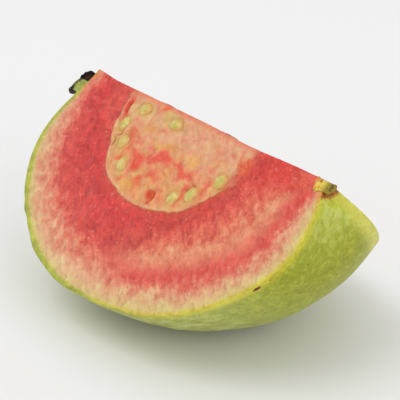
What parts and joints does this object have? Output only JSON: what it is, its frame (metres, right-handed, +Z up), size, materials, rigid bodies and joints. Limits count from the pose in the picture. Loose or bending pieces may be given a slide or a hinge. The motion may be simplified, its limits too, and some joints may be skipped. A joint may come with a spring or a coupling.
{
  "type": "guava wedge",
  "caption": "Hand-cut wedge of pink guava lying on its skin, with seeds set in the pulp, dried sepals at the blossom end and a stub of stalk at the other.",
  "frame": {"origin": "centre of the small flat spot on the skin that the wedge rests on", "axes": "+X along the fruit's own axis towards the stem end, +Z up through the cut edge, so the two cuts face -Y and +Y and both look upwards"},
  "size_m": [0.0832, 0.0572, 0.0412],
  "materials": {
    "flesh": "moist pink-red fruit flesh with a yellow-green skin",
    "seed": "smooth pale yellow seed coat, wet",
    "calyx": "withered, dark brown and wrinkled, green at the root",
    "stalk": "rough yellow-brown bark"
  },
  "bodies": {
    "root": {"guava_wedge": "flesh", "sepal_front": "calyx", "sepal_back": "calyx", "stem_stub": "stalk", "seed_front_1": "seed", "seed_front_2": "seed", "seed_front_3": "seed", "seed_front_4": "seed", "seed_front_5": "seed", "seed_front_6": "seed", "seed_front_7": "seed", "seed_front_8": "seed", "seed_back_1": "seed", "seed_back_2": "seed", "seed_back_3": "seed", "seed_back_4": "seed", "seed_back_5": "seed", "seed_back_6": "seed", "seed_back_7": "seed", "seed_back_8": "seed", "seed_back_9": "seed"}
  },
  "joints": []
}
